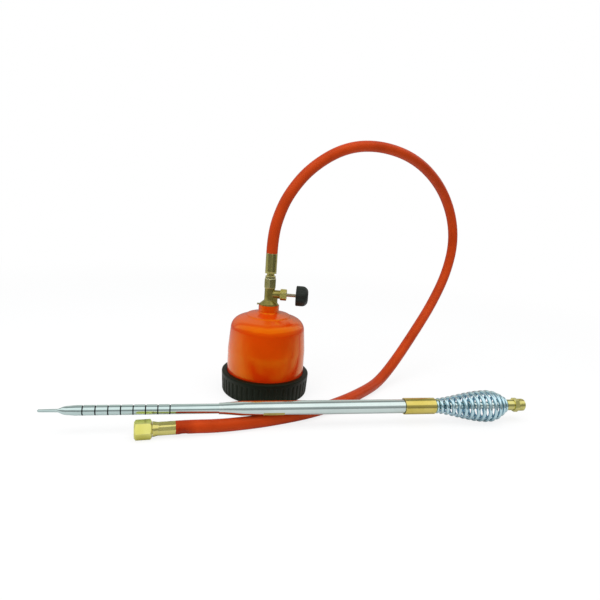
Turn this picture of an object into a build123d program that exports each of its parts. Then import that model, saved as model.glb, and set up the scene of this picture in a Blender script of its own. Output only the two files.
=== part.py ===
from build123d import *
import math
import os

# A gas poker set: a screw-together cartridge holder with a needle valve on its neck, a rubber hose,
# and a slotted lance with a spring handle that lies across the hose.
# Millimetres and degrees. Origin: centre of the cup's underside. +Z up, +X nearly along the lance.

# ---------------------------------------------------------------- fits
corner_bevel = 30.0  # degrees, of a hexagon's turned corners
running_gap = 0.05  # radial, between pieces that turn or slide on each other
seat_gap = 0.02  # between pieces that are pressed or screwed together
face_gap = 0.05  # between flat faces that part when something moves
loose_gap = 0.3  # between pieces that pass close by
through = 1.0  # how far a cut runs past the face it opens

# ---------------------------------------------------------------- cartridge and its holder
cartridge_radius = 43.6
cartridge_height = 85.7
cartridge_wall = 0.45
cartridge_shoulder_round = 15.0
cartridge_shoulder_drop = 6.5
cartridge_top_radius = 8.0
cartridge_foot_bevel = 2.5
cartridge_foot_width = 5.0
cartridge_edge_round = 1.0
cartridge_dish_depth = 4.0
cartridge_side_room = 2.15

dome_wall = 0.7
dome_skirt_lift = 2.5
dome_taper = 3.05
dome_taper_drop = 54.05
dome_taper_round = 60.0
dome_shoulder_drop = 19.15
dome_shoulder_round = 14.0
dome_step_radius = 26.6
dome_step_drop = 13.15
dome_step_width = 0.8
dome_step_rise = 1.3
dome_step_round = 0.8
neck_radius = 12.2
neck_height = 9.05
neck_root_round = 3.0
neck_plate = 1.5

cup_height = 26.5
cup_floor = 3.5
cup_wall = 6.15
cup_draft = 1.5
cup_rim_round = 2.0
cup_foot_round = 4.0
cup_flutes = 48
cup_flute_radius = 2.2
cup_flute_depth = 0.8
cup_flute_bottom = 3.0
cup_flute_top = 21.0
cup_groove_inner = 30.0
cup_groove_outer = 42.0
cup_groove_depth = 1.0

# ---------------------------------------------------------------- valve
seal_thickness = 2.7
seal_radius = 5.3
needle_radius = 1.5
needle_reach = 3.3
needle_seat = 6.7
needle_bore = 0.5
stem_radius = 5.5
stem_length = 15.8
retaining_nut_flats = 14.0
retaining_nut_height = 5.0
washer_radius = 11.4
washer_thickness = 0.8
washer_tab_reach = 14.3
washer_tab_width = 6.0
washer_tab_heading = 167.0
foot_radius = 10.7
foot_land = 1.0
foot_height = 5.0
column_radius = 6.1
column_height = 19.45
column_collar = 0.6
column_collar_radius = 6.5
stub_radius = 5.3
stub_length = 6.0
gas_bore = 1.2
outlet_bore = 1.0
outlet_offset = 3.6

spindle_heading = -15.0
spindle_rise = 12.45
spindle_radius = 1.9
spindle_tip_start = 1.6
spindle_tip_radius = 0.3
spindle_tip_length = 2.1
valve_seat_radius = 0.8
valve_seat_start = 2.2
packing_bore = 3.5
packing_groove_depth = 0.5
packing_start = 7.0
packing_length = 2.0
boss_radius = 5.0
boss_length = 12.8
boss_rib_reach = 9.9
boss_rib_width = 7.0
gland_spigot_radius = 4.05
gland_spigot_length = 2.6
gland_nut_flats = 12.0
gland_nut_length = 7.6
spindle_bare_length = 11.2
knob_radius = 12.0
knob_length = 14.4
knob_rim_bevel = 0.6
knob_round = 7.0
knob_flutes = 8
knob_flute_radius = 6.0
knob_flute_depth = 0.9
knob_socket_depth = 9.0

# ---------------------------------------------------------------- hose and its ends
hose_diameter = 13.4
hose_bore = 8.0
squeezed_hose_diameter = 12.2
tail_neck_radius = 4.5
tail_bore_radius = 2.2
tail_recess_radius = 4.8
tail_recess_depth = 1.0
barb_count = 3
barb_pitch = 5.0
barb_depth = 0.4
ferrule_flats = 13.0
ferrule_corner_radius = 6.75
ferrule_sides = 8
ferrule_end_wall = 1.0
ferrule_end_bevel = 0.3
nut_lip = 2.5

valve_ferrule_length = 23.7
valve_ferrule_lip = 2.0
valve_ferrule_lip_radius = 6.9
valve_neck_gap = 2.95
hose_nut_flats = 13.0
hose_nut_height = 14.35
hose_nut_collar = 3.2
hose_nut_collar_radius = 6.1
hose_nut_collar_bevel = 0.4
hose_nut_turn = 17.0

end_ferrule_length = 21.8
end_ferrule_lip = 5.5
end_ferrule_lip_radius = 7.5
end_neck_gap = 0.3
end_shoulder_length = 4.5
swivel_nut_flats = 17.0
swivel_nut_length = 16.7
swivel_nut_bevel = 0.9

# ---------------------------------------------------------------- lance, measured from its tip
thread_radius = 6.9
lance_side = -99.8
lance_crossing = -16.0
lance_swing = 0.6
crossing_station = 215.7
burner_radius = 5.0
burner_wall = 0.8
spike_end_radius = 1.4
spike_radius = 1.7
spike_length = 18.2
spike_bevel = 0.8
flare_radius = 4.1
flare_length = 5.2
flare_end_length = 10.6
spike_root_round = 4.0
flare_round = 12.0
flare_end_round = 30.0
burner_bore_start = 25.0
slot_count = 8
slot_start = 40.5
slot_pitch = 11.63
slot_width = 1.2
slot_floor = 2.5
slot_turn = 35.0
swage_wall = 0.8
swage_start = 170.0
swage_land = 3.5
swage_length = 20.5
swage_round = 15.0
burner_insertion = 30.0
outer_tube_radius = 7.5
outer_tube_wall = 1.0
sleeve_start = 371.6
sleeve_length = 36.3
sleeve_radius = 9.0
sleeve_wall = 0.8
sleeve_cavity = 26.1
sleeve_mouth_bevel = 0.4
sleeve_end_bevel = 0.8
sleeve_land_start = 4.5
sleeve_land_length = 11.5
sleeve_land_width = 2.4
sleeve_lands = 3
tube_insertion = 17.6
jet_radius = 2.5
jet_flats = 7.0
jet_head = 2.0
jet_nose = 2.0
jet_shank = 4.0
jet_orifice = 0.25
jet_bore = 1.2
feed_radius = 4.0
feed_wall = 1.0
feed_lap = 6.2
spring_wire = 2.8
spring_turns = 13.6
spring_span = 87.0
spring_start_radius = 6.9
spring_start_angle = 115.0
spring_bulge_radius = 16.55
spring_end_radius = 6.8
spring_bulge_at = 0.74
spring_rise_power = 1.35
spring_sag = 1.0
spring_end_closing = 0.5
spring_closing_power = 7
spring_spigot_length = 2.5
inlet_collar_radius = 6.1
inlet_collar_length = 9.0
inlet_flats = 14.0
inlet_hex_length = 5.5
inlet_thread_length = 8.2
inlet_thread_round = 1.0
inlet_bore = 2.5
inlet_lap = 5.4
inlet_seat_radius = 5.0

# ---------------------------------------------------------------- heights and radii that follow
cartridge_bottom = cup_floor + face_gap
cartridge_top = cartridge_bottom + cartridge_height
stem_bottom = cartridge_top + loose_gap + seal_thickness
neck_top = stem_bottom + stem_length
foot_bottom = neck_top + washer_thickness
column_top = foot_bottom + column_height
stub_bottom = column_top + column_collar
stub_top = stub_bottom + stub_length
hose_nut_top = stub_bottom + hose_nut_height
valve_ferrule_bottom = hose_nut_top + valve_neck_gap
valve_mouth = valve_ferrule_bottom + valve_ferrule_length
spindle_height = foot_bottom + spindle_rise

waist_radius = cartridge_radius + cartridge_side_room + dome_wall
skirt_bottom = cup_floor + dome_skirt_lift
cup_bore = waist_radius + loose_gap
cup_rim_radius = cup_bore + cup_wall
cup_foot_radius = cup_rim_radius - cup_draft

gland_nut_start = boss_length
gland_nut_end = gland_nut_start + gland_nut_length
knob_start = gland_nut_end + spindle_bare_length

hose_radius = hose_diameter / 2
barb_radius = hose_bore / 2 - seat_gap
end_height = swivel_nut_flats / 2 + face_gap

sleeve_end = sleeve_start + sleeve_length
tube_end = sleeve_start + tube_insertion
spring_start = sleeve_end + spring_wire / 2 + face_gap
spring_end = spring_start + spring_span
inlet_start = spring_end + spring_wire / 2 + face_gap
inlet_hex_start = inlet_start + inlet_collar_length
inlet_thread_start = inlet_hex_start + inlet_hex_length
inlet_end = inlet_thread_start + inlet_thread_length
bulge_station = spring_start + spring_bulge_at * spring_span
lance_height_at_hose = hose_diameter + loose_gap + outer_tube_radius
lance_height_at_bulge = spring_bulge_radius + spring_sag + spring_wire / 2 + face_gap
lance_drop = (lance_height_at_hose - lance_height_at_bulge) / (bulge_station - crossing_station)
lance_tilt = math.asin(lance_drop)

# The hose's route, from the valve up over the arch, down to the floor, under the lance and to its end.
hose_route = [
    (0, 0, valve_mouth),
    (0, 0, 185),
    (4, 2, 209),
    (17, 9, 239),
    (45, 22, 272),
    (88, 32, 299),
    (136, 41, 306),
    (190, 55, 296),
    (241, 81, 269),
    (277, 101, 230),
    (290, 104, 186),
    (281, 97, 140),
    (250, 72, 97),
    (212, 43, 60),
    (177, 18, 27),
    (149, -3, 8.5),
    (122, -27, hose_radius),
    (87, -55, hose_radius),
    (43, -81.5, hose_radius),
    (-7, -98, hose_radius),
    (-42, -105, hose_radius),
    (-67, -108.5, 7),
    (-88, -110.8, end_height),
    (-104, -112, end_height),
]
bend_share = 0.45  # of the shorter run beside a corner, taken by the corner's arc


# ---------------------------------------------------------------- shared shapes, all about the Z axis
def turned(outline):
    """Solid of revolution from a closed outline of (radius, height) points."""
    return revolve(make_face(Plane.XZ * Polyline(*outline, close=True)), Axis.Z)


def turned_round(corners, rounds, bottom, top):
    """Solid of revolution whose side has rounded corners, closed to the axis at both ends."""
    side = FilletPolyline(*corners, radius=rounds)
    rest = Polyline(corners[-1], (0, top), (0, bottom), corners[0])
    return revolve(make_face(Plane.XZ * (side + rest)), Axis.Z)


def rod(radius, bottom, top):
    return Pos(0, 0, bottom) * extrude(Circle(radius), top - bottom)


def tube(outer_radius, inner_radius, bottom, top):
    return Pos(0, 0, bottom) * extrude(Circle(outer_radius) - Circle(inner_radius), top - bottom)


def prism(flats, sides, bottom, top):
    polygon = RegularPolygon(flats / 2, sides, major_radius=False)
    return Pos(0, 0, bottom) * extrude(polygon, top - bottom)


def hexagon(flats, bottom, top, bevelled_bottom=True, bevelled_top=True, end_bevel=0):
    """Hexagon bar whose corners, and with an end bevel its faces too, are turned off at the chosen ends."""
    corner = flats / math.sqrt(3)
    face_radius = flats / 2 - end_bevel
    fall = (flats / math.sqrt(3) - flats / 2) * math.tan(math.radians(corner_bevel)) + end_bevel
    low = fall if bevelled_bottom else 0
    high = fall if bevelled_top else 0
    low_radius = face_radius if bevelled_bottom else corner
    high_radius = face_radius if bevelled_top else corner
    side = [(0, bottom), (low_radius, bottom)]
    if bevelled_bottom:
        side.append((corner, bottom + low))
    if bevelled_top:
        side.append((corner, top - high))
    side += [(high_radius, top), (0, top)]
    return prism(flats, 6, bottom, top) & turned(side)


def circles_of(solid, radius):
    """The circular edges of one radius."""
    circles = solid.edges().filter_by(GeomType.CIRCLE)
    return circles.filter_by(lambda edge: abs(edge.radius - radius) < seat_gap)


# ---------------------------------------------------------------- cartridge and its holder
def make_base_cup():
    cup = turned(
        [
            (0, 0),
            (cup_foot_radius, 0),
            (cup_rim_radius, cup_height),
            (cup_bore, cup_height),
            (cup_bore, cup_floor),
            (0, cup_floor),
        ]
    )
    cup = fillet(circles_of(cup, cup_rim_radius), cup_rim_round)
    cup = fillet(circles_of(cup, cup_foot_radius), cup_foot_round)
    draft_angle = math.atan(cup_draft / cup_height)
    flute_radius_at_floor = cup_foot_radius + cup_flute_radius - cup_flute_depth
    flute = extrude(Circle(cup_flute_radius), cup_flute_top - cup_flute_bottom)
    leaned = Rot(0, math.degrees(draft_angle), 0) * flute
    start = flute_radius_at_floor + cup_flute_bottom * math.tan(draft_angle)
    flutes = PolarLocations(0, cup_flutes) * (Pos(start, 0, cup_flute_bottom) * leaned)
    groove = tube(cup_groove_outer, cup_groove_inner, -through, cup_groove_depth)
    return cup - flutes - groove


def dome_body(inset, top):
    """The dome's outline, or with an inset its inside, as a solid."""
    shoulder_radius = waist_radius - dome_taper
    step_height = neck_top - dome_step_drop
    corners = [
        (waist_radius - inset, skirt_bottom),
        (waist_radius - inset, neck_top - dome_taper_drop),
        (shoulder_radius - inset, neck_top - dome_shoulder_drop - inset),
        (dome_step_radius - inset, step_height - inset),
        (dome_step_radius - dome_step_width - inset, step_height + dome_step_rise - inset),
        (neck_radius - inset, neck_top - neck_height - inset),
        (neck_radius - inset, top),
    ]
    rounds = [
        dome_taper_round,
        dome_shoulder_round,
        dome_step_round,
        dome_step_round,
        neck_root_round,
    ]
    return turned_round(corners, rounds, skirt_bottom, top)


def make_dome_shell():
    stem_hole = rod(stem_radius + seat_gap, skirt_bottom, neck_top + through)
    return dome_body(0, neck_top) - dome_body(dome_wall, neck_top - neck_plate) - stem_hole


def cartridge_body(inset):
    foot_radius_inner = cartridge_radius - cartridge_foot_bevel - cartridge_foot_width
    bottom = cartridge_bottom + inset
    top = cartridge_top - inset
    shoulder = top - cartridge_shoulder_drop
    side = FilletPolyline(
        (cartridge_radius - cartridge_foot_bevel, bottom),
        (cartridge_radius - inset, bottom + cartridge_foot_bevel),
        (cartridge_radius - inset, shoulder),
        (cartridge_top_radius, top),
        (0, top),
        radius=[cartridge_edge_round, cartridge_shoulder_round, cartridge_edge_round],
    )
    base = Polyline(
        (0, top),
        (0, bottom + cartridge_dish_depth),
        (foot_radius_inner - cartridge_dish_depth, bottom + cartridge_dish_depth),
        (foot_radius_inner, bottom),
        (cartridge_radius - cartridge_foot_bevel, bottom),
    )
    return revolve(make_face(Plane.XZ * (side + base)), Axis.Z)


def make_gas_cartridge():
    hole_radius = needle_radius + loose_gap
    pierced_hole = rod(hole_radius, cartridge_top - through, cartridge_top + through)
    return cartridge_body(0) - cartridge_body(cartridge_wall) - pierced_hole


# ---------------------------------------------------------------- valve
def make_cartridge_seal():
    return tube(seal_radius, needle_radius + seat_gap, stem_bottom - seal_thickness, stem_bottom)


def make_piercing_needle():
    tip = cartridge_top - needle_reach
    needle = turned(
        [
            (0, tip),
            (needle_radius, tip + 2 * needle_radius),
            (needle_radius, stem_bottom + needle_seat),
            (0, stem_bottom + needle_seat),
        ]
    )
    return needle - rod(needle_bore, tip + needle_radius, stem_bottom + needle_seat + through)


def make_clamp_washer():
    washer = tube(washer_radius, stem_radius + seat_gap, neck_top, foot_bottom)
    tab = Pos(washer_tab_reach / 2, 0, 0) * Rectangle(washer_tab_reach, washer_tab_width)
    tab = Pos(0, 0, neck_top) * Rot(0, 0, washer_tab_heading) * extrude(tab, washer_thickness)
    return washer + (tab - rod(stem_radius + seat_gap, neck_top - through, foot_bottom + through))


def make_retaining_nut():
    top = neck_top - neck_plate
    nut = hexagon(retaining_nut_flats, top - retaining_nut_height, top, bevelled_top=False)
    return nut - rod(stem_radius + seat_gap, top - retaining_nut_height - through, top + through)


def spindle_place():
    heading = math.radians(spindle_heading)
    return Plane(
        origin=(0, 0, spindle_height),
        x_dir=(0, 0, 1),
        z_dir=(math.cos(heading), math.sin(heading), 0),
    )


def make_valve_body():
    body = turned(
        [
            (0, stem_bottom),
            (stem_radius, stem_bottom),
            (stem_radius, foot_bottom),
            (foot_radius, foot_bottom),
            (foot_radius, foot_bottom + foot_land),
            (column_radius, foot_bottom + foot_height),
            (column_radius, column_top),
            (column_collar_radius, column_top),
            (column_collar_radius, stub_bottom),
            (stub_radius, stub_bottom),
            (stub_radius, stub_top),
            (0, stub_top),
        ]
    )
    across = spindle_place()
    body += across * rod(boss_radius, 0, boss_length)
    rib_height = spindle_rise - foot_land
    rib = across * Pos(-rib_height / 2, 0, boss_rib_reach / 2) * Box(rib_height, boss_rib_width, boss_rib_reach)
    body += rib & rod(boss_rib_reach, foot_bottom, spindle_height)
    body -= across * rod(valve_seat_radius, 0, valve_seat_start)
    body -= across * rod(packing_bore, valve_seat_start, boss_length)
    gland_bore = gland_spigot_radius + seat_gap
    body -= across * rod(gland_bore, boss_length - gland_spigot_length, boss_length + through)
    body -= rod(needle_radius + seat_gap, stem_bottom - through, stem_bottom + needle_seat)
    body -= rod(gas_bore, stem_bottom, spindle_height)
    heading = math.radians(spindle_heading)
    outlet = Pos(outlet_offset * math.cos(heading), outlet_offset * math.sin(heading), 0)
    body -= outlet * rod(outlet_bore, spindle_height, stub_top + through)
    return body


def make_gland_nut():
    spigot_start = gland_nut_start - gland_spigot_length + seat_gap
    nut = hexagon(gland_nut_flats, gland_nut_start, gland_nut_end)
    nut += rod(gland_spigot_radius, spigot_start, gland_nut_start)
    nut -= rod(spindle_radius + running_gap, spigot_start - through, gland_nut_end + through)
    return spindle_place() * nut


def make_spindle_seal():
    inner = spindle_radius - packing_groove_depth + running_gap
    outer = packing_bore - running_gap
    ring = tube(outer, inner, packing_start + face_gap, packing_start + packing_length - face_gap)
    return spindle_place() * ring


def make_valve_spindle():
    tip_end = spindle_tip_start + spindle_tip_length
    groove_end = packing_start + packing_length
    groove_radius = spindle_radius - packing_groove_depth
    end = knob_start + knob_socket_depth - seat_gap
    spindle = turned(
        [
            (0, spindle_tip_start),
            (spindle_tip_radius, spindle_tip_start),
            (spindle_radius, tip_end),
            (spindle_radius, packing_start),
            (groove_radius, packing_start),
            (groove_radius, groove_end),
            (spindle_radius, groove_end),
            (spindle_radius, end),
            (0, end),
        ]
    )
    return spindle_place() * spindle


def make_knob():
    end = knob_start + knob_length
    knob = turned_round(
        [
            (knob_radius - knob_rim_bevel, knob_start),
            (knob_radius, knob_start + knob_rim_bevel),
            (knob_radius, end),
            (spindle_radius, end),
        ],
        [knob_rim_bevel / 2, knob_round],
        knob_start,
        end,
    )
    cutter_place = knob_radius + knob_flute_radius - knob_flute_depth
    cutter = rod(knob_flute_radius, knob_start - through, end + through)
    knob -= PolarLocations(cutter_place, knob_flutes) * cutter
    knob -= rod(spindle_radius + seat_gap, knob_start - through, knob_start + knob_socket_depth)
    return spindle_place() * knob


def make_hose_nut():
    collar_start = hose_nut_top - hose_nut_collar
    nut = hexagon(hose_nut_flats, stub_bottom, collar_start)
    nut += turned(
        [
            (0, collar_start),
            (hose_nut_collar_radius, collar_start),
            (hose_nut_collar_radius, hose_nut_top - hose_nut_collar_bevel),
            (hose_nut_collar_radius - hose_nut_collar_bevel, hose_nut_top),
            (0, hose_nut_top),
        ]
    )
    nut -= rod(stub_radius + running_gap, stub_bottom - through, hose_nut_top - nut_lip)
    nut -= rod(tail_neck_radius + running_gap, stub_bottom, hose_nut_top + through)
    return Rot(0, 0, hose_nut_turn) * nut


# ---------------------------------------------------------------- hose ends, from the ferrule's mouth at 0
def ferrule(length, lip, lip_radius):
    crimped = length - lip
    barrel = prism(ferrule_flats, ferrule_sides, 0, crimped) & rod(ferrule_corner_radius, 0, crimped)
    flare = turned(
        [
            (0, crimped),
            (ferrule_flats / 2, crimped),
            (lip_radius, length - ferrule_end_bevel),
            (lip_radius - ferrule_end_bevel, length),
            (0, length),
        ]
    )
    hose_room = squeezed_hose_diameter / 2 + seat_gap
    bored = barrel + flare - rod(hose_room, -through, length - ferrule_end_wall)
    return bored - rod(tail_neck_radius + seat_gap, 0, length + through)


def hose_tail(ferrule_length, neck_gap, shoulder_radius, shoulder_length):
    barb_end = ferrule_length - ferrule_end_wall
    shoulder_start = ferrule_length + neck_gap + nut_lip + face_gap
    shoulder_end = shoulder_start + shoulder_length
    outline = [(tail_bore_radius, barb_end - barb_count * barb_pitch)]
    for index in range(barb_count):
        start = barb_end - (barb_count - index) * barb_pitch
        outline.append((barb_radius - barb_depth, start))
        outline.append((barb_radius, start + barb_pitch / 2))
        if index < barb_count - 1:
            outline.append((barb_radius - barb_depth, start + barb_pitch / 2))
    outline += [
        (barb_radius, barb_end),
        (tail_neck_radius, barb_end),
        (tail_neck_radius, shoulder_start),
        (shoulder_radius, shoulder_start),
        (shoulder_radius, shoulder_end),
        (tail_recess_radius - tail_recess_depth, shoulder_end),
        (tail_bore_radius, shoulder_end - tail_recess_depth),
    ]
    return turned(outline)


def squeezed_hose(ferrule_length):
    end = ferrule_length - ferrule_end_wall - seat_gap
    return tube(squeezed_hose_diameter / 2, hose_bore / 2, 0, end)


def valve_end_place():
    return Plane(origin=(0, 0, valve_mouth), x_dir=(1, 0, 0), z_dir=(0, 0, -1))


def far_end_place():
    mouth = Vector(*hose_route[-1])
    way = mouth - Vector(*hose_route[-2])
    return Plane(origin=mouth, x_dir=(way.Y, -way.X, 0), z_dir=way)


def make_valve_ferrule():
    sleeve = ferrule(valve_ferrule_length, valve_ferrule_lip, valve_ferrule_lip_radius)
    return valve_end_place() * sleeve


def make_valve_hose_tail():
    room = hose_nut_height - nut_lip - stub_length - 2 * face_gap
    tail = hose_tail(valve_ferrule_length, valve_neck_gap, stub_radius, room)
    return valve_end_place() * tail


def make_end_ferrule():
    return far_end_place() * ferrule(end_ferrule_length, end_ferrule_lip, end_ferrule_lip_radius)


def make_end_hose_tail():
    shoulder_radius = thread_radius - loose_gap
    tail = hose_tail(end_ferrule_length, end_neck_gap, shoulder_radius, end_shoulder_length)
    return far_end_place() * tail


def make_swivel_nut():
    start = end_ferrule_length + end_neck_gap
    end = start + swivel_nut_length
    shoulder_start = start + nut_lip
    thread_start = shoulder_start + face_gap + end_shoulder_length + loose_gap
    nut = hexagon(swivel_nut_flats, start, end, end_bevel=swivel_nut_bevel)
    nut -= rod(tail_neck_radius + running_gap, start - through, end)
    nut -= rod(thread_radius - loose_gap + running_gap, shoulder_start, end)
    nut -= rod(thread_radius + running_gap, thread_start, end + through)
    return far_end_place() * nut


def bend_radii(route):
    """One radius for each corner of the route, as large as the runs beside it allow."""
    radii = []
    for before, corner, after in zip(route, route[1:], route[2:]):
        run_in = Vector(*corner) - Vector(*before)
        run_out = Vector(*after) - Vector(*corner)
        half_turn = math.radians(run_in.get_angle(run_out)) / 2
        shorter = min(run_in.length, run_out.length)
        radii.append(bend_share * shorter / math.tan(half_turn))
    return radii


def make_hose():
    radii = bend_radii(hose_route)
    path = FilletPolyline(*hose_route, radius=radii)
    section = Plane(origin=path @ 0, z_dir=path % 0) * (Circle(hose_radius) - Circle(hose_bore / 2))
    free = sweep(section, path=path)
    ring_area = math.pi * (hose_radius**2 - (hose_bore / 2) ** 2)
    print("hose bend radii", [round(radius) for radius in radii])
    print("hose length", round(path.length), "and volume", round(free.volume))
    print("hose section times length", round(ring_area * path.length))
    near = valve_end_place() * squeezed_hose(valve_ferrule_length)
    far = far_end_place() * squeezed_hose(end_ferrule_length)
    return free + near + far


# ---------------------------------------------------------------- lance, along Z from its tip
def lance_place():
    swing = math.radians(lance_swing)
    across = Vector(math.sin(swing), math.cos(swing), 0)
    level = math.cos(lance_tilt)
    along = Vector(level * across.Y, -level * across.X, -math.sin(lance_tilt))
    crossing = Vector(lance_crossing, lance_side, lance_height_at_hose)
    return Plane(origin=crossing - along * crossing_station, x_dir=across, z_dir=along)


def make_burner_tube():
    flare_end = spike_length + flare_length
    full_from = flare_end + flare_end_length
    tube_stop = swage_start + burner_insertion
    body = turned_round(
        [
            (spike_end_radius - spike_bevel, 0),
            (spike_end_radius, spike_bevel),
            (spike_radius, spike_length),
            (flare_radius, flare_end),
            (burner_radius, full_from),
            (burner_radius, tube_stop),
        ],
        [spike_bevel, spike_root_round, flare_round, flare_end_round],
        0,
        tube_stop,
    )
    bore_radius = burner_radius - burner_wall
    body -= turned(
        [
            (0, burner_bore_start),
            (flare_radius - 2 * burner_wall, burner_bore_start + burner_wall),
            (bore_radius, full_from),
            (bore_radius, tube_stop + through),
            (0, tube_stop + through),
        ]
    )
    reach = burner_radius + slot_floor + through
    slot = Pos(reach / 2 - slot_floor, 0, 0) * Box(reach, 2 * reach, slot_width)
    for index in range(slot_count):
        body -= Pos(0, 0, slot_start + index * slot_pitch) * Rot(0, 0, 180) * slot
    return lance_place() * Rot(0, 0, slot_turn - 90) * body


def make_outer_tube():
    swage_end = swage_start + swage_land + swage_length
    neck = burner_radius + seat_gap + swage_wall
    outside = turned_round(
        [
            (neck, swage_start),
            (neck, swage_start + swage_land),
            (outer_tube_radius, swage_end),
            (outer_tube_radius, tube_end),
        ],
        [swage_round, swage_round],
        swage_start,
        tube_end,
    )
    bore = outer_tube_radius - outer_tube_wall
    inside = turned(
        [
            (0, swage_start - through),
            (burner_radius + seat_gap, swage_start - through),
            (burner_radius + seat_gap, swage_start + swage_land),
            (bore, swage_end),
            (bore, tube_end + through),
            (0, tube_end + through),
        ]
    )
    return lance_place() * (outside - inside)


def make_air_sleeve():
    spigot_radius = spring_start_radius - spring_wire / 2 - loose_gap
    cavity_end = sleeve_start + sleeve_cavity
    spigot_end = sleeve_end + spring_spigot_length
    sleeve = turned(
        [
            (0, sleeve_start),
            (sleeve_radius - sleeve_mouth_bevel, sleeve_start),
            (sleeve_radius, sleeve_start + sleeve_mouth_bevel),
            (sleeve_radius, sleeve_end - sleeve_end_bevel),
            (sleeve_radius - sleeve_end_bevel, sleeve_end),
            (spigot_radius, sleeve_end),
            (spigot_radius, spigot_end),
            (0, spigot_end),
        ]
    )
    sleeve -= rod(sleeve_radius - sleeve_wall, sleeve_start - through, cavity_end)
    sleeve -= rod(feed_radius + seat_gap, sleeve_end - feed_lap, spigot_end + through)
    sleeve -= rod(jet_radius + seat_gap, cavity_end - through, sleeve_end)
    land_bottom = sleeve_start + sleeve_land_start
    tube_seat = outer_tube_radius + seat_gap
    ribs = tube(sleeve_radius - sleeve_wall / 2, tube_seat, land_bottom, land_bottom + sleeve_land_length)
    rib_bar = Box(sleeve_radius, sleeve_land_width, sleeve_land_length)
    bar_place = Pos(sleeve_radius / 2, 0, land_bottom + sleeve_land_length / 2)
    for index in range(sleeve_lands):
        turn = Rot(0, 0, 90 + index * 360 / sleeve_lands)
        sleeve += ribs & (turn * bar_place * rib_bar)
    return lance_place() * sleeve


def make_gas_jet():
    seat = sleeve_start + sleeve_cavity
    head_start = seat - jet_head
    tip = head_start - jet_nose
    jet = turned(
        [
            (0, tip),
            (jet_radius / 2, tip),
            (jet_radius, head_start),
            (jet_radius, seat + jet_shank),
            (0, seat + jet_shank),
        ]
    )
    jet += hexagon(jet_flats, head_start, seat)
    jet -= rod(jet_orifice, tip - through, seat)
    jet -= rod(jet_bore, head_start, seat + jet_shank + through)
    return lance_place() * jet


def make_feed_tube():
    start = sleeve_end - feed_lap + seat_gap
    end = inlet_start + inlet_lap - seat_gap
    return lance_place() * tube(feed_radius, feed_radius - feed_wall, start, end)


def spring_point(share):
    """Centre of the wire at a share of the spring's turns: a pear-shaped right-hand helix."""
    power = spring_closing_power
    closing = spring_end_closing / (2 * power) * ((2 * share - 1) ** power + 1)
    along = (share - closing) / (1 - spring_end_closing / power)
    if along < spring_bulge_at:
        swell = math.sin(math.pi / 2 * (along / spring_bulge_at) ** spring_rise_power)
        radius = spring_start_radius + (spring_bulge_radius - spring_start_radius) * swell
    else:
        swell = math.cos(math.pi / 2 * (along - spring_bulge_at) / (1 - spring_bulge_at))
        radius = spring_end_radius + (spring_bulge_radius - spring_end_radius) * swell
    angle = 2 * math.pi * spring_turns * share + math.radians(spring_start_angle)
    up = radius * math.sin(angle) - spring_sag * swell
    return Vector(radius * math.cos(angle), up, spring_start + spring_span * along)


def spring_direction(share):
    step = 1e-5
    return (spring_point(min(share + step, 1)) - spring_point(max(share - step, 0))).normalized()


def biarc(start, start_way, end, end_way):
    """Two arcs that leave start along start_way, meet smoothly and reach end along end_way."""
    chord = end - start
    ways = start_way + end_way
    spread = 2 * (1 - start_way.dot(end_way))
    lean = chord.dot(ways)
    reach = (math.sqrt(lean**2 + spread * chord.dot(chord)) - lean) / spread
    first_corner = start + start_way * reach
    last_corner = end - end_way * reach
    joint = (first_corner + last_corner) / 2
    joint_way = (last_corner - first_corner).normalized()
    return [
        TangentArc(start, joint, tangent=start_way),
        TangentArc(joint, end, tangent=joint_way),
    ]


def least_coil_gap():
    """Smallest clear distance between the wire and its neighbouring turns, on points."""
    per_turn = 36
    count = int(spring_turns * per_turn)
    points = [spring_point(index / count) for index in range(count + 1)]
    least = math.inf
    for index, point in enumerate(points):
        for other in points[index + per_turn * 3 // 4:index + per_turn * 5 // 4]:
            least = min(least, (other - point).length)
    return least - spring_wire


def make_spring_handle():
    halves = math.ceil(spring_turns * 2)
    edges = []
    for index in range(halves):
        here = index / halves
        there = (index + 1) / halves
        start_way = spring_direction(here)
        end_way = spring_direction(there)
        edges += biarc(spring_point(here), start_way, spring_point(there), end_way)
    path = Wire(edges)
    section = Plane(origin=path @ 0, z_dir=path % 0) * Circle(spring_wire / 2)
    print("least gap between coils", round(least_coil_gap(), 2))
    return lance_place() * sweep(section, path=path)


def make_inlet_fitting():
    spigot_radius = spring_end_radius - spring_wire / 2 - loose_gap
    spigot_start = inlet_start - spring_spigot_length
    fitting = tube(spigot_radius, feed_radius, spigot_start, inlet_start + through)
    fitting += rod(inlet_collar_radius, inlet_start, inlet_hex_start)
    fitting += hexagon(inlet_flats, inlet_hex_start, inlet_thread_start)
    fitting += turned(
        [
            (0, inlet_thread_start),
            (thread_radius, inlet_thread_start),
            (thread_radius, inlet_end - inlet_thread_round),
            (thread_radius - inlet_thread_round, inlet_end),
            (0, inlet_end),
        ]
    )
    fitting -= rod(feed_radius + seat_gap, spigot_start - through, inlet_start + inlet_lap)
    seat_depth = inlet_seat_radius - inlet_bore
    fitting -= turned(
        [
            (0, inlet_start),
            (inlet_bore, inlet_start),
            (inlet_bore, inlet_end - seat_depth),
            (inlet_seat_radius, inlet_end),
            (inlet_seat_radius, inlet_end + through),
            (0, inlet_end + through),
        ]
    )
    return lance_place() * fitting


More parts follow.
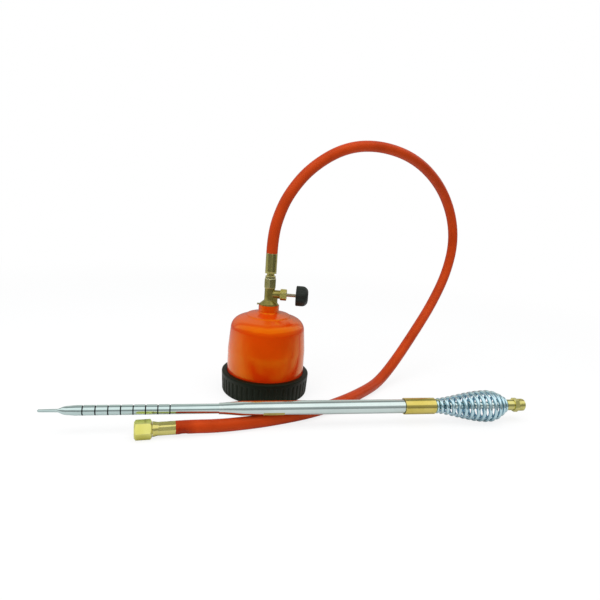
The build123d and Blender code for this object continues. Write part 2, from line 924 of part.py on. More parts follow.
# ---------------------------------------------------------------- every piece, by name
pieces = {
    "base_cup": make_base_cup,
    "dome_shell": make_dome_shell,
    "gas_cartridge": make_gas_cartridge,
    "cartridge_seal": make_cartridge_seal,
    "piercing_needle": make_piercing_needle,
    "retaining_nut": make_retaining_nut,
    "clamp_washer": make_clamp_washer,
    "valve_body": make_valve_body,
    "gland_nut": make_gland_nut,
    "spindle_seal": make_spindle_seal,
    "valve_spindle": make_valve_spindle,
    "knob": make_knob,
    "hose_nut": make_hose_nut,
    "valve_hose_tail": make_valve_hose_tail,
    "valve_ferrule": make_valve_ferrule,
    "hose": make_hose,
    "end_ferrule": make_end_ferrule,
    "end_hose_tail": make_end_hose_tail,
    "swivel_nut": make_swivel_nut,
    "burner_tube": make_burner_tube,
    "outer_tube": make_outer_tube,
    "air_sleeve": make_air_sleeve,
    "gas_jet": make_gas_jet,
    "feed_tube": make_feed_tube,
    "spring_handle": make_spring_handle,
    "inlet_fitting": make_inlet_fitting,
}

os.makedirs("parts", exist_ok=True)
for name, make in pieces.items():
    piece = make()
    piece.label = name
    export_step(piece, f"parts/{name}.step")
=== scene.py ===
import math

import bpy
from mathutils import Matrix, Vector


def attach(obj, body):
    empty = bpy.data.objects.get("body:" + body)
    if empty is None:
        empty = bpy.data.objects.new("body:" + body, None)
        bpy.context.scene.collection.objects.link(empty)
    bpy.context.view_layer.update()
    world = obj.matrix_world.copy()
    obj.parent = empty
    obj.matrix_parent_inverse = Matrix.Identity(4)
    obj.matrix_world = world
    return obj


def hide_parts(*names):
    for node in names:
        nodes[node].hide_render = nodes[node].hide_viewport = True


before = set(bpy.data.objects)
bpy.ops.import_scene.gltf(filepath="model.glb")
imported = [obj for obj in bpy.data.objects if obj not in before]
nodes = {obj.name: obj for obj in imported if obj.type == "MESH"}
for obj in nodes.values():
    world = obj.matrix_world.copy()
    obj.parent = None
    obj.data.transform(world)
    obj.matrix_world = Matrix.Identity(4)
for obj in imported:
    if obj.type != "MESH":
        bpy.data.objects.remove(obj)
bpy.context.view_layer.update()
scene = bpy.context.scene
MM = 0.001


# ------------------------------------------------------------------ shader nodes
def empty_tree(owner):
    """The node tree of a material or world, with nothing in it."""
    owner.use_nodes = True
    owner.node_tree.nodes.clear()
    return owner.node_tree


def feed(tree, value, target):
    """Links value to the socket target, or sets target to it where it is a plain value."""
    if isinstance(value, bpy.types.NodeSocket):
        tree.links.new(value, target)
    elif target.type == "RGBA":
        target.default_value = (*value, 1)
    else:
        target.default_value = value


def add(tree, kind, output, inputs, **settings):
    """The named output of a new node with these inputs and settings."""
    node = tree.nodes.new("ShaderNode" + kind)
    for name, value in settings.items():
        setattr(node, name, value)
    for name, value in inputs.items():
        feed(tree, value, node.inputs[name])
    return node.outputs[output]


def place_of(tree):
    """Object coordinates, in metres."""
    return add(tree, "TexCoord", "Object", {})


def normal_of(tree):
    return add(tree, "NewGeometry", "Normal", {})


def split(tree, vector):
    """The X, Y and Z outputs for a vector."""
    node = tree.nodes.new("ShaderNodeSeparateXYZ")
    feed(tree, vector, node.inputs["Vector"])
    return node.outputs


def reckon(tree, operation, first, second=0.0):
    """A Math node on first and second, each a socket or a number."""
    return add(tree, "Math", 0, {0: first, 1: second}, operation=operation)


def reckon_vector(tree, operation, first, second=(0, 0, 0), output="Vector"):
    """A Vector Math node on first and second, each a socket or a vector."""
    return add(tree, "VectorMath", output, {0: first, 1: second}, operation=operation)


def spread(tree, value, low, high, from_low=0.3, from_high=0.7, curve="LINEAR"):
    """Carries value from its range from_low to from_high over to low to high."""
    inputs = {
        "Value": value,
        "From Min": from_low,
        "From Max": from_high,
        "To Min": low,
        "To Max": high,
    }
    return add(tree, "MapRange", "Result", inputs, interpolation_type=curve)


def noise(tree, vector, scale, detail=3.0, roughness=0.55):
    inputs = {"Vector": vector, "Scale": scale, "Detail": detail, "Roughness": roughness}
    return add(tree, "TexNoise", "Fac", inputs)


def ramp(tree, value, stops):
    """A colour ramp from (position, colour) stops."""
    node = tree.nodes.new("ShaderNodeValToRGB")
    elements = node.color_ramp.elements
    while len(elements) < len(stops):
        elements.new(0.5)
    for element, (position, colour) in zip(elements, stops):
        element.position = position
        element.color = (*colour, 1.0)
    feed(tree, value, node.inputs["Fac"])
    return node.outputs["Color"]


def blend_colour(tree, amount, first, second):
    """first where amount is 0 and second where it is 1, each a socket or a plain colour."""
    return add(tree, "Mix", 2, {0: amount, 6: first, 7: second}, data_type="RGBA")


def blend_number(tree, amount, first, second):
    """first where amount is 0 and second where it is 1, each a socket or a number."""
    return add(tree, "Mix", 0, {0: amount, 2: first, 3: second}, data_type="FLOAT")


# ------------------------------------------------------------------ materials
def shader_of(material):
    return next(node for node in material.node_tree.nodes if node.type == "BSDF_PRINCIPLED")


def shade_where(material, amount, shade):
    """Turns the material's colour to shade as far as the socket amount says."""
    tree = material.node_tree
    base = shader_of(material).inputs["Base Color"]
    feed(tree, blend_colour(tree, amount, base.links[0].from_socket, shade), base)


def surface(name, dark, light, rough, metallic=0.0, grain=900, patch=60, depth=0.00001,
            specular=0.5, ior=1.5, tint=(1, 1, 1), edge=0.0, worn=(1, 1, 1)):
    """A material whose colour wanders from dark to light over patches.

    Its roughness follows a fine grain, which also bumps it by depth. Where it has an edge
    radius, its edges are rounded in the shading and turned to the colour
    worn: partly wear, and partly a painted highlight along the edges.
    """
    material = bpy.data.materials.new(name)
    tree = empty_tree(material)
    place = place_of(tree)
    fine = noise(tree, place, grain, detail=4.0, roughness=0.6)
    shader_inputs = {
        "Base Color": ramp(tree, noise(tree, place, patch), [(0.32, dark), (0.68, light)]),
        "Roughness": spread(tree, fine, *rough),
        "Metallic": metallic,
        "IOR": ior,
        "Specular IOR Level": specular,
        "Specular Tint": tint,
    }
    bump_inputs = {"Height": fine, "Strength": 0.25, "Distance": depth}
    if edge:
        bump_inputs["Normal"] = add(tree, "Bevel", "Normal", {"Radius": edge}, samples=6)
    shader_inputs["Normal"] = add(tree, "Bump", "Normal", bump_inputs)
    shader = add(tree, "BsdfPrincipled", "BSDF", shader_inputs)
    output = tree.nodes.new("ShaderNodeOutputMaterial")
    feed(tree, shader, output.inputs["Surface"])
    # Lighter edges: partly wear, and partly a painted highlight along them.
    if edge:
        agree = reckon_vector(
            tree, "DOT_PRODUCT", bump_inputs["Normal"], normal_of(tree), output="Value")
        wear_and_highlight_mask = spread(tree, agree, 1.0, 0.0, from_low=0.93, from_high=0.995)
        shade_where(material, wear_and_highlight_mask, worn)
    return material


def metal(name, dark, light, rough, grain, patch, **more):
    return surface(name, dark, light, rough, metallic=1.0, grain=grain, patch=patch, **more)


enamel = surface(
    "enamel", (0.62, 0.019, 0.0002), (0.69, 0.027, 0.0005), (0.16, 0.22),
    grain=1400, patch=25, depth=0.000004, ior=1.9, tint=(1.0, 1.0, 0.02))
cup_plastic = surface(
    "cup_plastic", (0.0015, 0.0025, 0.0008), (0.003, 0.0045, 0.0015), (0.42, 0.56),
    grain=2500, patch=70, depth=0.00002, specular=0.24, tint=(0.85, 1.0, 0.75),
    edge=0.0012, worn=(0.003, 0.0045, 0.0015))
knob_plastic = surface(
    "knob_plastic", (0.008, 0.011, 0.008), (0.014, 0.018, 0.014), (0.4, 0.52),
    grain=2500, patch=120, depth=0.00002, specular=0.3)
seal_rubber = surface(
    "seal_rubber", (0.012, 0.012, 0.012), (0.025, 0.024, 0.023), (0.55, 0.7),
    grain=2500, patch=150, depth=0.00003)
hose_rubber = surface(
    "hose_rubber", (0.4, 0.031, 0.003), (0.53, 0.047, 0.006), (0.3, 0.42),
    grain=1600, patch=28, depth=0.00002, specular=0.3, tint=(1.0, 0.6, 0.2))
label = surface(
    "sticker", (0.36, 0.31, 0.08), (0.46, 0.4, 0.11), (0.3, 0.4),
    grain=2000, patch=150, specular=0.4)
# A black for painted shade, used by the sleeve inside the burner tube.
painted_shade_black = surface(
    "painted_shade_black", (0.004, 0.004, 0.004), (0.012, 0.011, 0.01), (0.7, 0.85), grain=1800, patch=150)

brass = metal(
    "bright_brass", (0.76, 0.68, 0.2), (0.87, 0.79, 0.28), (0.18, 0.28), 1800, 90,
    edge=0.0005, worn=(0.95, 0.9, 0.5))
nut_brass = metal(
    "nut_brass", (0.9, 0.85, 0.2), (0.99, 0.94, 0.29), (0.26, 0.34), 1800, 90,
    edge=0.0005, worn=(0.98, 0.95, 0.5))
gland_brass = metal(
    "gland_brass", (0.96, 0.84, 0.2), (1.0, 0.92, 0.28), (0.24, 0.32), 1800, 90,
    edge=0.0005, worn=(1.0, 0.92, 0.45))
sleeve_brass = metal(
    "sleeve_brass", (0.78, 0.64, 0.15), (0.9, 0.75, 0.23), (0.12, 0.2), 1800, 60,
    edge=0.0004, worn=(0.95, 0.85, 0.45))
cast_brass = metal(
    "dull_brass", (0.33, 0.28, 0.07), (0.46, 0.4, 0.115), (0.28, 0.38), 1500, 140,
    edge=0.0004, worn=(0.56, 0.48, 0.17))
# Its edges turn much lighter: a painted highlight on the chamfers, and partly wear.
turned_brass = metal(
    "turned_brass", (0.55, 0.5, 0.18), (0.67, 0.61, 0.25), (0.2, 0.3), 1500, 140,
    edge=0.0006, worn=(0.98, 0.96, 0.66))
fitting_brass = metal(
    "fitting_brass", (0.7, 0.64, 0.22), (0.84, 0.78, 0.3), (0.08, 0.15), 1500, 140)
spindle_metal = metal(
    "spindle_metal", (0.4, 0.35, 0.23), (0.52, 0.46, 0.31), (0.35, 0.45), 2000, 160)
chrome = metal(
    "chrome", (0.74, 0.87, 0.84), (0.82, 0.94, 0.91), (0.08, 0.14), 1200, 30, depth=0.000003)
burner_chrome = metal(
    "burner_chrome", (0.64, 0.8, 0.78), (0.74, 0.89, 0.87), (0.07, 0.12), 1200, 30,
    depth=0.000003)
zinc = metal("bright_zinc", (0.62, 0.87, 0.95), (0.72, 0.95, 1.0), (0.1, 0.18), 2200, 120)
plain_steel = metal(
    "plain_steel", (0.4, 0.41, 0.42), (0.55, 0.56, 0.57), (0.25, 0.4), 1800, 120)
tinplate = metal("tinplate", (0.5, 0.51, 0.53), (0.64, 0.65, 0.67), (0.2, 0.34), 900, 40)


def paint_shade_near(material, spot, reach, shade):
    """Painted shade, in patches, that fades out with the distance from a spot."""
    tree = material.node_tree
    place = place_of(tree)
    apart = reckon_vector(tree, "DISTANCE", place, spot, output="Value")
    near = spread(tree, apart, 1.0, 0.0, from_low=reach * 0.4, from_high=reach)
    patches = spread(tree, noise(tree, place, scale=260), 0.45, 1.0)
    shade_where(material, reckon(tree, "MULTIPLY", near, patches), shade)


def facing_height(tree, start, end):
    """0 where the surface's normal has the height start, and 1 from the height end on."""
    return spread(tree, split(tree, normal_of(tree))["Z"], 0.0, 1.0, start, end)


def paint_top_light(material, shade):
    """Painted light: a lighter, more yellow colour on the sides that face up."""
    shade_where(material, facing_height(material.node_tree, start=0.1, end=0.75), shade)


def paint_underside_shade(material, shade, rough):
    """Painted shade on the sides that face down, which are also made rougher than the rest."""
    tree = material.node_tree
    under = facing_height(tree, start=-0.1, end=-0.75)
    shade_where(material, under, shade)
    roughness = shader_of(material).inputs["Roughness"]
    rougher = reckon(
        tree, "MAXIMUM", roughness.links[0].from_socket, reckon(tree, "MULTIPLY", under, rough))
    feed(tree, rougher, roughness)


# Painted light on the up-facing sides of the dome.
paint_top_light(enamel, (0.66, 0.048, 0.0006))
# Painted shade under the valve body, its washer and the gland nut.
paint_underside_shade(cast_brass, (0.16, 0.13, 0.045), rough=0.6)
paint_underside_shade(gland_brass, (0.42, 0.3, 0.07), rough=0.6)
# Painted shade under the hose by its far mouth, where it is pinched.
paint_shade_near(hose_rubber, (-0.098, -0.116, 0.004), reach=0.016, shade=(0.26, 0.011, 0.002))

looks = {
    "base_cup": cup_plastic,
    "dome_shell": enamel,
    "gas_cartridge": tinplate,
    "cartridge_seal": seal_rubber,
    "piercing_needle": plain_steel,
    "retaining_nut": brass,
    "clamp_washer": cast_brass,
    "valve_body": cast_brass,
    "gland_nut": gland_brass,
    "spindle_seal": seal_rubber,
    "valve_spindle": spindle_metal,
    "knob": knob_plastic,
    "hose_nut": turned_brass,
    "valve_hose_tail": brass,
    "valve_ferrule": brass,
    "hose": hose_rubber,
    "end_ferrule": brass,
    "end_hose_tail": brass,
    "swivel_nut": nut_brass,
    "burner_tube": burner_chrome,
    "outer_tube": chrome,
    "air_sleeve": sleeve_brass,
    "gas_jet": brass,
    "feed_tube": chrome,
    "spring_handle": zinc,
}
for name, material in looks.items():
    data = nodes[name].data
    data.materials.clear()
    data.materials.append(material)


# ------------------------------------------------------------------ shapes
def mesh_object(name, vertices, faces, material, smooth=True):
    data = bpy.data.meshes.new(name)
    data.from_pydata([tuple(v) for v in vertices], [], faces)
    data.validate()
    data.materials.append(material)
    made = bpy.data.objects.new(name, data)
    scene.collection.objects.link(made)
    for polygon in data.polygons:
        polygon.use_smooth = smooth
    return made


def ring_faces(low, high, sides):
    """The faces between the ring of vertices that starts at low and the one at high."""
    faces = []
    for step in range(sides):
        after = (step + 1) % sides
        faces.append((low + step, low + after, high + after, high + step))
    return faces


def tube_along(name, points, radii, sides, material):
    """A round bar of changing radius along points, with closed ends.

    Its section is carried along without twist.
    """
    count = len(points)
    ways = [
        (points[min(i + 1, count - 1)] - points[max(i - 1, 0)]).normalized()
        for i in range(count)
    ]
    side = ways[0].orthogonal().normalized()
    vertices = []
    for point, way, radius in zip(points, ways, radii):
        side = (side - way * side.dot(way)).normalized()
        up = way.cross(side)
        for step in range(sides):
            angle = 2 * math.pi * step / sides
            vertices.append(point + (side * math.cos(angle) + up * math.sin(angle)) * radius)
    faces = []
    for ring in range(count - 1):
        faces += ring_faces(ring * sides, (ring + 1) * sides, sides)
    faces.append(tuple(reversed(range(sides))))
    faces.append(tuple(range((count - 1) * sides, count * sides)))
    return mesh_object(name, vertices, faces, material)


def turned_skin(name, rings, sides, place, material, flat=range(0)):
    """A closed skin through rings, each a distance along the axis and a radius.

    A radius is a number, or a function of the angle. The rows of faces in flat aren't smoothed.
    """
    vertices = []
    for along, radius in rings:
        for step in range(sides):
            angle = 2 * math.pi * step / sides
            reach = radius(angle) if callable(radius) else radius
            vertices.append(place(reach * math.cos(angle), reach * math.sin(angle), along))
    faces = []
    for ring in range(len(rings)):
        faces += ring_faces(ring * sides, (ring + 1) % len(rings) * sides, sides)
    made = mesh_object(name, vertices, faces, material)
    for row in flat:
        for step in range(sides):
            made.data.polygons[row * sides + step].use_smooth = False
    made.data.set_sharp_from_angle(angle=math.radians(30))
    return made


# ------------------------------------------------------------------ hose
hose_route = [
    (0, 0, 0.1699),
    (0, 0, 0.185),
    (0.004, 0.002, 0.209),
    (0.017, 0.009, 0.239),
    (0.045, 0.022, 0.272),
    (0.088, 0.032, 0.299),
    (0.136, 0.041, 0.306),
    (0.190, 0.055, 0.296),
    (0.241, 0.081, 0.269),
    (0.277, 0.101, 0.230),
    (0.290, 0.104, 0.186),
    (0.281, 0.097, 0.140),
    (0.250, 0.072, 0.097),
    (0.212, 0.043, 0.060),
    (0.177, 0.018, 0.027),
    (0.149, -0.003, 0.0085),
    (0.122, -0.027, 0.0067),
    (0.087, -0.055, 0.0067),
    (0.043, -0.0815, 0.0067),
    (-0.007, -0.098, 0.0067),
    (-0.042, -0.105, 0.0067),
    (-0.067, -0.1085, 0.007),
    (-0.088, -0.1108, 0.00855),
    (-0.104, -0.112, 0.00855),
]
hose_radius = 0.0067
hose_sides = 40


def spline_points(route, steps):
    """Points along the smooth spline that the route's points control, steps to each."""
    curve = bpy.data.curves.new("route", "CURVE")
    curve.dimensions = "3D"
    spline = curve.splines.new("NURBS")
    spline.points.add(len(route) - 1)
    for point, place in zip(spline.points, route):
        point.co = (*place, 1.0)
    spline.order_u = 3
    spline.use_endpoint_u = True
    spline.resolution_u = steps
    holder = bpy.data.objects.new("route", curve)
    scene.collection.objects.link(holder)
    bpy.context.view_layer.update()
    found = bpy.data.meshes.new_from_object(holder)
    points = [v.co.copy() for v in found.vertices]
    bpy.data.objects.remove(holder)
    return points


hose_line = spline_points(hose_route, steps=24)
hose_radii = [hose_radius] * len(hose_line)
hose = tube_along("hose_tube", hose_line, hose_radii, hose_sides, hose_rubber)


def pinch(turn, start, end, width, depth):
    """Presses a groove into the hose, from start to end before its far mouth.

    turn is where it is around the hose and width its reach to either side, both in degrees;
    the rest is in mm.
    """
    mouth = Vector(hose_route[-1])
    way = (mouth - Vector(hose_route[-2])).normalized()
    side = Vector((way.y, -way.x, 0))
    for vertex in hose.data.vertices:
        offset = vertex.co - mouth
        before = -offset.dot(way) / MM
        if not start < before < end:
            continue
        angle = math.degrees(math.atan2(offset.z, -offset.dot(side)))
        share = math.sin(math.pi * (before - start) / (end - start))
        shape = share * math.exp(-((angle - turn) / width) ** 2)
        inward = -(offset - way * offset.dot(way)).normalized()
        vertex.co += inward * depth * shape * MM


pinch(turn=-28, start=1.5, end=15, width=20, depth=1.3)
pinch(turn=-62, start=4, end=12, width=14, depth=0.8)
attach(hose, "holder")
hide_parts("hose")

# ------------------------------------------------------------------ the lance's own frame
# Stations are distances from the lance's tip along its axis, in mm. It lies on the hose at one
# station, and on the bulge of its spring at another.
hose_station, hose_height = 215.7, 21.2
bulge_station, bulge_height = 473.73, 19.0
lance_tilt = math.asin((hose_height - bulge_height) / (bulge_station - hose_station))
lance_swing = math.radians(0.6)
lance_side = Vector((math.sin(lance_swing), math.cos(lance_swing), 0))
level = math.cos(lance_tilt)
lance_way = Vector((level * lance_side.y, -level * lance_side.x, -math.sin(lance_tilt)))
lance_up = lance_way.cross(lance_side)
lance_tip = Vector((-16.0, -99.8, hose_height)) - lance_way * hose_station


def on_lance(side, up, station):
    """A point beside and above the lance's axis at a station, all in mm."""
    return (lance_tip + lance_side * side + lance_up * up + lance_way * station) * MM


def from_tip(tree):
    """The way from the lance's tip to the shaded point."""
    return reckon_vector(tree, "SUBTRACT", place_of(tree), lance_tip * MM)


def paint_inner_shade(material, shade):
    """Painted shade on the side of the spring's wire that faces the lance's axis."""
    tree = material.node_tree
    turned = reckon_vector(tree, "CROSS_PRODUCT", lance_way, from_tip(tree))
    outward = reckon_vector(tree, "CROSS_PRODUCT", turned, lance_way)
    unit = reckon_vector(tree, "NORMALIZE", outward)
    facing = reckon_vector(tree, "DOT_PRODUCT", unit, normal_of(tree), output="Value")
    shade_where(material, spread(tree, facing, 1.0, 0.0, -0.5, 0.4), shade)


def paint_slot_shade(material, start, radius, shade):
    """Painted shade inside the slots: from start on, whatever is within radius of the axis, in
    mm.
    """
    tree = material.node_tree
    offset = from_tip(tree)
    along = reckon_vector(tree, "DOT_PRODUCT", offset, lance_way, output="Value")
    across = reckon_vector(tree, "CROSS_PRODUCT", offset, lance_way)
    distance = reckon_vector(tree, "LENGTH", across, output="Value")
    near = reckon(tree, "LESS_THAN", distance, radius * MM)
    past = reckon(tree, "GREATER_THAN", along, start * MM)
    shade_where(material, reckon(tree, "MULTIPLY", near, past), shade)


# Painted shade on the inner side of the spring's coils.
paint_inner_shade(zinc, (0.3, 0.51, 0.64))
# Painted shade inside the burner tube's slots.
paint_slot_shade(burner_chrome, start=38.0, radius=4.93, shade=(0.012, 0.013, 0.012))

# ------------------------------------------------------------------ spring handle
spring_turns = 13.6
spring_station, spring_span = 409.35, 87.0
spring_near_radius, spring_far_radius = 6.9, 6.8
spring_bulge_radius, spring_bulge_at = 16.55, 0.74
spring_swell_power = 1.35
spring_sag = 1.0
spring_first_angle = 115
spring_steps = 870
spring_sides = 16
# The wire's radius at the ends, what it gains in the middle, and over which share of its length.
end_wire, added_wire, wire_taper = 1.4, 0.55, 1 / 6
# How much of the coils' spacing is gone at the ends, and how suddenly that sets in.
end_closing, closing_power = 0.5, 7


def wire_radius(share):
    """The wire is thicker in the middle than where the spring is drawn in."""
    return end_wire + added_wire * min(1.0, share / wire_taper, (1 - share) / wire_taper)


def spring_point(share):
    """The point at a share of the wire's turns; towards both ends the coils lie closer."""
    steep = (2 * share - 1) ** closing_power + 1
    closing = end_closing / (2 * closing_power) * steep
    along = (share - closing) / (1 - end_closing / closing_power)
    if along < spring_bulge_at:
        swell = math.sin(math.pi / 2 * (along / spring_bulge_at) ** spring_swell_power)
        end_radius = spring_near_radius
    else:
        swell = math.cos(math.pi / 2 * (along - spring_bulge_at) / (1 - spring_bulge_at))
        end_radius = spring_far_radius
    radius = end_radius + (spring_bulge_radius - end_radius) * swell
    radius -= wire_radius(share) - end_wire
    angle = 2 * math.pi * spring_turns * share + math.radians(spring_first_angle)
    up = radius * math.sin(angle) - spring_sag * swell
    return on_lance(radius * math.cos(angle), up, spring_station + spring_span * along)


shares = [i / spring_steps for i in range(spring_steps + 1)]
spring_line = [spring_point(share) for share in shares]
spring_radii = [wire_radius(share) * MM for share in shares]
spring = tube_along("spring_wire", spring_line, spring_radii, spring_sides, zinc)
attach(spring, "lance")
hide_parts("spring_handle")


# ------------------------------------------------------------------ threaded fittings, in mm
def hexagon_rings(flats, start, end, face_radius, fall):
    """Rings of a hexagon bar whose corners are turned off by a cone at both ends.

    The cone goes from face_radius at the end face out to the corners over the length fall.
    """
    corner = flats / math.sqrt(3)

    def rim(limit):
        def reach(angle):
            flat = flats / 2 / math.cos(angle % (math.pi / 3) - math.pi / 6)
            return min(flat, limit)
        return reach

    steps = 8
    limits = []
    for i in range(steps + 1):
        limits.append((fall * i / steps, face_radius + (corner - face_radius) * i / steps))
    rings = [(start + rise, rim(limit)) for rise, limit in limits]
    rings += [(end - rise, rim(limit)) for rise, limit in reversed(limits)]
    return rings


thread_pitch = 1.5
thread_spacing = 0.12  # between rings
thread_slope, thread_crest = 1.25, 0.125  # of the groove's section, in shares of its depth


def thread_rings(start, end, radius, depth, side, chamfer=0.0):
    """Rings of a left-hand thread.

    side is -1 where it is cut into a bar, and 1 where its ridges stand in a bore.
    """
    rings = []
    count = max(2, round((end - start) / thread_spacing))
    for index in range(count + 1):
        along = start + (end - start) * index / count
        fade = min(1.0, (along - start) / thread_pitch)
        limit = radius - max(0.0, along - (end - chamfer))

        def reach(angle, along=along, fade=fade, limit=limit):
            turn = (along / thread_pitch + angle / (2 * math.pi)) % 1.0
            groove = 1 - abs(2 * turn - 1)
            share = min(1.0, max(0.0, thread_slope * groove - thread_crest))
            cut = depth * fade * share
            return min(radius - cut, limit) if side < 0 else radius - cut

        rings.append((along, reach))
    return rings


inlet_start, inlet_hex, inlet_thread, inlet_end = 497.8, 506.8, 512.3, 520.5
inlet_sides = 120
inlet_spigot = inlet_start - 2.5
spigot_radius, spigot_bore = 5.1, 4.02
collar_radius, collar_bevel = 6.1, 0.2
neck_radius, mouth_radius, bore_radius = 6.2, 5.0, 2.5
mouth_depth, bore_start = 2.5, inlet_start + 5.4
inlet_back = [
    (inlet_spigot, spigot_radius),
    (inlet_start, spigot_radius),
    (inlet_start, collar_radius - collar_bevel),
    (inlet_start + collar_bevel, collar_radius),
    (inlet_hex, collar_radius),
]
inlet_hexagon = hexagon_rings(
    flats=14.0, start=inlet_hex, end=inlet_thread, face_radius=7.0, fall=0.62)
inlet_ridges = thread_rings(
    inlet_thread, inlet_end, radius=6.9, depth=0.7, side=-1, chamfer=1.0)
inlet_inside = [
    (inlet_end, mouth_radius),
    (inlet_end - mouth_depth, bore_radius),
    (bore_start, bore_radius),
    (bore_start, spigot_bore),
    (inlet_spigot, spigot_bore),
]
inlet_rings = inlet_back + inlet_hexagon + [(inlet_thread, neck_radius)]
inlet_rings += inlet_ridges + inlet_inside
inlet_flats = range(len(inlet_back), len(inlet_back) + len(inlet_hexagon) - 1)
inlet = turned_skin(
    "inlet_skin", inlet_rings, inlet_sides, on_lance, fitting_brass, inlet_flats)
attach(inlet, "lance")
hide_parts("inlet_fitting")

# A dark sleeve of painted shade inside the burner tube, which shows through its slots.
shade_sleeve_start, shade_sleeve_end = 34.0, 138.0
shade_sleeve_outside, shade_sleeve_inside = 4.17, 4.0
shade_sleeve_sides = 48
shade_sleeve_rings = [
    (shade_sleeve_start, shade_sleeve_outside),
    (shade_sleeve_end, shade_sleeve_outside),
    (shade_sleeve_end, shade_sleeve_inside),
    (shade_sleeve_start, shade_sleeve_inside),
]
shade_sleeve = turned_skin("painted_shade_sleeve", shade_sleeve_rings, shade_sleeve_sides, on_lance, painted_shade_black)
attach(shade_sleeve, "lance")

# The last point of the hose's route and the way of its last leg.
end_mouth = Vector((-104.0, -112.0, 8.55))
end_way = Vector((-16.0, -1.2, 0)).normalized()
end_side = Vector((end_way.y, -end_way.x, 0))


def on_end(side, down, along):
    """A point near the hose's far end, measured from the ferrule's mouth, in mm."""
    return (end_mouth + end_side * side + Vector((0, 0, -down)) + end_way * along) * MM


# The ridges of the swivel nut's thread, as a skin that lies on its bore.
nut_start, nut_end = 29.45, 38.6
nut_back, nut_sides = 6.945, 96
nut_rings = thread_rings(nut_start, nut_end, radius=6.94, depth=0.28, side=1)
nut_rings.reverse()
nut_rings += [(nut_start, nut_back), (nut_end, nut_back)]
nut_thread = turned_skin("nut_thread", nut_rings, nut_sides, on_end, brass)
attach(nut_thread, "swivel")

# ------------------------------------------------------------------ bare sticker on the tube
sticker_ends = (215.3, 237.5)
sticker_radii = (7.49, 7.58)
sticker_turns = [-20 - 5 * i for i in range(10)]  # degrees down from level, towards the camera


def sticker_point(turn, station, radius):
    angle = math.radians(turn)
    return on_lance(-radius * math.cos(angle), radius * math.sin(angle), station)


corners = []
for radius in sticker_radii:
    for station in sticker_ends:
        corners += [sticker_point(turn, station, radius) for turn in sticker_turns]
many = len(sticker_turns)
inner_near, inner_far, outer_near, outer_far = (many * i for i in range(4))
last = many - 1
sheets = []
for i in range(last):
    sheets.append((outer_near + i, outer_near + i + 1, outer_far + i + 1, outer_far + i))
    sheets.append((inner_near + i + 1, inner_near + i, inner_far + i, inner_far + i + 1))
    sheets.append((inner_near + i, inner_near + i + 1, outer_near + i + 1, outer_near + i))
    sheets.append((inner_far + i + 1, inner_far + i, outer_far + i, outer_far + i + 1))
sheets.append((inner_near, outer_near, outer_far, inner_far))
sheets.append((inner_far + last, outer_far + last, outer_near + last, inner_near + last))
bare_sticker = mesh_object("bare_sticker", corners, sheets, label)
bare_sticker.data.set_sharp_from_angle(angle=math.radians(30))
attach(bare_sticker, "lance")


# ------------------------------------------------------------------ floor
def ease(tree, value, start, end, before, after):
    """before up to start and after from end on, with a smooth step between."""
    return spread(tree, value, before, after, start, end, "SMOOTHSTEP")


def floor_reflected(tree, place):
    """How bright the floor is in shiny pieces.

    It is bright around the object, dim behind it, and dark far to its sides and towards the
    camera.
    """
    across = reckon(tree, "ABSOLUTE", reckon(tree, "ADD", place["X"], 0.05))
    deep = place["Y"]
    before = ease(tree, deep, -0.27, -0.2, 0.28, 0.62)
    beside = ease(tree, deep, -0.09, -0.04, 0.0, 0.35)
    far = ease(tree, deep, -0.55, -0.3, 0.65, 1.0)
    sides = ease(tree, across, 0.33, 0.6, 1.0, 0.32)
    behind = ease(tree, deep, 0.1, 0.4, 0.0, 1.0)
    near = reckon(tree, "ADD", before, beside)
    front = reckon(tree, "MULTIPLY", reckon(tree, "MULTIPLY", near, far), sides)
    rest = reckon(tree, "MULTIPLY", front, reckon(tree, "SUBTRACT", 1.0, behind))
    return reckon(tree, "ADD", rest, reckon(tree, "MULTIPLY", behind, 0.4))


floor_corners = [(-6, -6, 0), (6, -6, 0), (6, 6, 0), (-6, 6, 0)]
floor_material = bpy.data.materials.new("floor")
floor = mesh_object("floor", floor_corners, [(0, 1, 2, 3)], floor_material, smooth=False)
tree = empty_tree(floor_material)
rays = tree.nodes.new("ShaderNodeLightPath").outputs
place = place_of(tree)
matt = reckon(tree, "MAXIMUM", rays["Is Camera Ray"], 0.8)
mirrored = floor_reflected(tree, split(tree, place))
tone = blend_number(tree, rays["Is Glossy Ray"], matt, mirrored)
diffuse = add(tree, "BsdfDiffuse", 0, {"Color": tone})
glow = add(tree, "Emission", 0, {"Color": (1, 1, 1)})
apart = reckon_vector(tree, "LENGTH", place, output="Value")
share = ease(tree, apart, 0.45, 1.1, 0.82, 1.0)
glowing = reckon(tree, "MULTIPLY", rays["Is Camera Ray"], share)
mixed = add(tree, "MixShader", 0, {0: glowing, 1: diffuse, 2: glow})
feed(tree, mixed, tree.nodes.new("ShaderNodeOutputMaterial").inputs["Surface"])

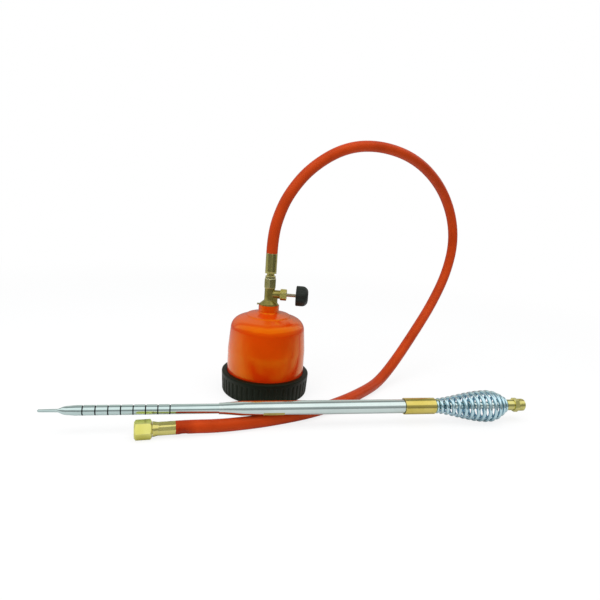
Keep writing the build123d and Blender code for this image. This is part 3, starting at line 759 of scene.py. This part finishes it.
# ------------------------------------------------------------------ studio
# The camera sees white around the object. Shiny pieces mirror an arch of tones, from level on
# the camera's side (0) over the zenith (0.5) to level behind the object (1). Everything else is
# lit by one pale grey.
world = bpy.data.worlds.new("studio")
scene.world = world
tree = empty_tree(world)
rays = tree.nodes.new("ShaderNodeLightPath").outputs
way = split(tree, add(tree, "TexCoord", "Generated", {}))
sideways = reckon(tree, "MULTIPLY", reckon(tree, "ABSOLUTE", way["X"]), 0.9)
forward = reckon(tree, "SUBTRACT", sideways, way["Y"])
portion = reckon(tree, "DIVIDE", reckon(tree, "ARCTAN2", way["Z"], forward), math.pi)
reflected = ramp(tree, portion, [
    (0.0, (0.28, 0.29, 0.29)),
    (0.125, (0.38, 0.39, 0.39)),
    (0.155, (1.0, 1.0, 1.0)),
    (0.39, (1.0, 1.0, 1.0)),
    (0.44, (0.28, 0.3, 0.3)),
    (0.58, (0.28, 0.3, 0.3)),
    (0.68, (0.66, 0.67, 0.64)),
    (0.86, (0.52, 0.53, 0.5)),
    (1.0, (0.34, 0.35, 0.34)),
])
around = blend_colour(tree, rays["Is Glossy Ray"], (0.6, 0.61, 0.62), reflected)
seen = reckon(tree, "MAXIMUM", rays["Is Camera Ray"], rays["Is Transmission Ray"])
background = add(tree, "Background", 0, {"Color": blend_colour(tree, seen, around, (1, 1, 1))})
feed(tree, background, tree.nodes.new("ShaderNodeOutputWorld").inputs["Surface"])


def lamp(name, place, target, size, power):
    """A rectangular lamp that points at target and that shiny pieces don't mirror."""
    data = bpy.data.lights.new(name, "AREA")
    data.shape = "RECTANGLE"
    data.size, data.size_y = size
    data.energy = power
    made = bpy.data.objects.new(name, data)
    scene.collection.objects.link(made)
    made.location = place
    made.rotation_euler = (Vector(target) - Vector(place)).to_track_quat("-Z", "Y").to_euler()
    made.visible_glossy = False


lamp("ceiling", (0.05, -0.25, 1.3), (0.05, -0.05, 0.0), size=(1.6, 0.9), power=9)
lamp("left_front", (-1.0, -0.9, 0.8), (0.0, 0.0, 0.1), size=(0.7, 0.7), power=5)

lens = bpy.data.cameras.new("camera")
lens.lens = 30.0
lens.sensor_width = 36.0
lens.clip_start = 0.01
camera = bpy.data.objects.new("camera", lens)
scene.collection.objects.link(camera)
camera.location = (-0.0958, -0.5767, 0.2432)
down = 12.26
heading = Matrix.Rotation(math.radians(-13.03), 4, "Z")
pitch = Matrix.Rotation(math.radians(90 - down), 4, "X")
roll = Matrix.Rotation(math.radians(4.13), 4, "Z")
camera.rotation_euler = (heading @ pitch @ roll).to_euler()
scene.camera = camera
scene.view_settings.view_transform = "Standard"
